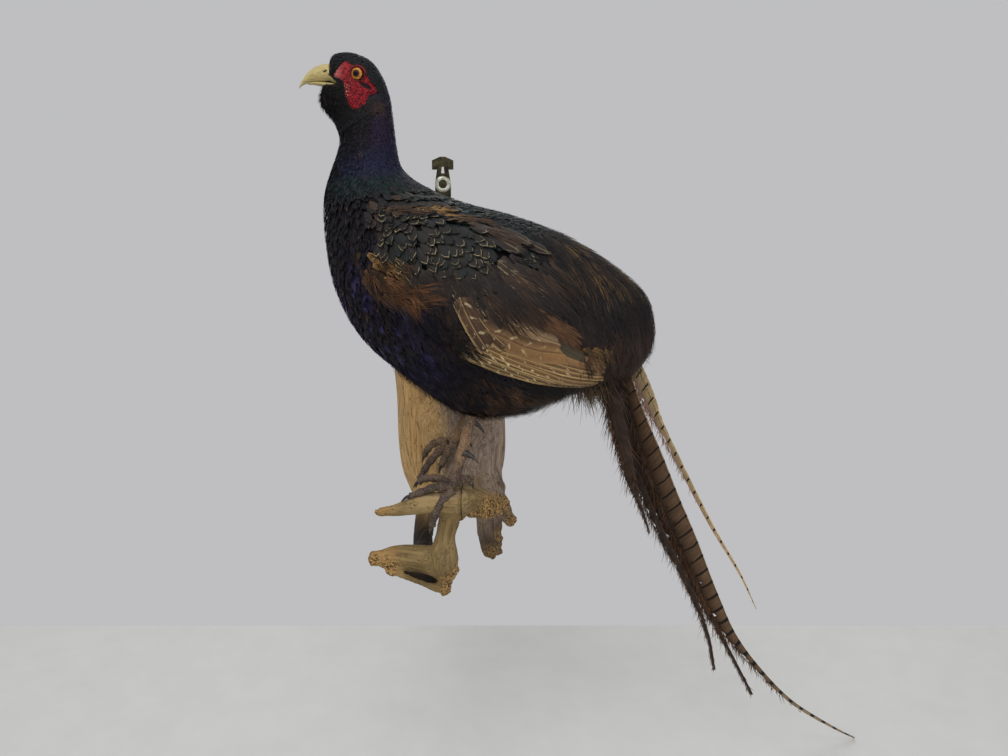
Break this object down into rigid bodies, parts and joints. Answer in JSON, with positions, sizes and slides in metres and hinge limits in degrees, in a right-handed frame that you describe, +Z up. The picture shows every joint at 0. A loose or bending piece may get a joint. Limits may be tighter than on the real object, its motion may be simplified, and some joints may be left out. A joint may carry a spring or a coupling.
{
  "type": "taxidermy pheasant on driftwood wall mount",
  "caption": "Life-size mounted cock pheasant of the dark form, with a long hanging tail, perched on a piece of driftwood that hangs on a wall.",
  "frame": {"origin": "on the flat back of the driftwood, which lies on the wall", "axes": "+Z up, +Y out of the back into the wall, -X the way the bird faces, so that its left side faces -Y, away from the wall"},
  "size_m": [0.5383, 0.2833, 0.6647],
  "materials": {
    "plumage": "dark feathers with a purple and green sheen, over a mounted skin",
    "brown_plumage": "brown and black feathers",
    "tail_feather": "brown vanes with narrow black bars",
    "bill_horn": "pale yellow horn, slightly glossy",
    "glass_eye": "glass eye with an orange-brown iris and a black pupil",
    "leg_scale": "dry grey-brown scales",
    "claw_horn": "dark horn",
    "driftwood": "weathered, bare, tan and grey with rough broken ends",
    "hanger_metal": "dull brass-plated steel",
    "pale_metal": "pale zinc-brass plating"
  },
  "bodies": {
    "root": {"bill_lower": "bill_horn", "bill_upper": "bill_horn", "claw_left_hind": "claw_horn", "claw_left_inner": "claw_horn", "claw_left_middle": "claw_horn", "claw_left_outer": "claw_horn", "claw_right_hind": "claw_horn", "claw_right_inner": "claw_horn", "claw_right_middle": "claw_horn", "claw_right_outer": "claw_horn", "driftwood": "driftwood", "eye_left": "glass_eye", "eye_right": "glass_eye", "hanger_plate": "hanger_metal", "hanger_ring": "pale_metal", "hanger_screw": "hanger_metal", "head": "plumage", "leg_left": "leg_scale", "leg_right": "leg_scale", "neck": "plumage", "rump": "brown_plumage", "spur_left": "claw_horn", "spur_right": "claw_horn", "tail_1_central": "tail_feather", "tail_2_central": "tail_feather", "tail_3_outer": "tail_feather", "tail_4_outer": "tail_feather", "tail_5_barred": "tail_feather", "tail_6_outer": "tail_feather", "tail_7_far": "tail_feather", "tail_8_far": "tail_feather", "thigh_left": "brown_plumage", "thigh_right": "brown_plumage", "toe_left_hind": "leg_scale", "toe_left_inner": "leg_scale", "toe_left_middle": "leg_scale", "toe_left_outer": "leg_scale", "toe_right_hind": "leg_scale", "toe_right_inner": "leg_scale", "toe_right_middle": "leg_scale", "toe_right_outer": "leg_scale", "trunk": "plumage", "undertail_tuft": "brown_plumage", "wing_left": "brown_plumage", "wing_right": "brown_plumage"}
  },
  "joints": []
}
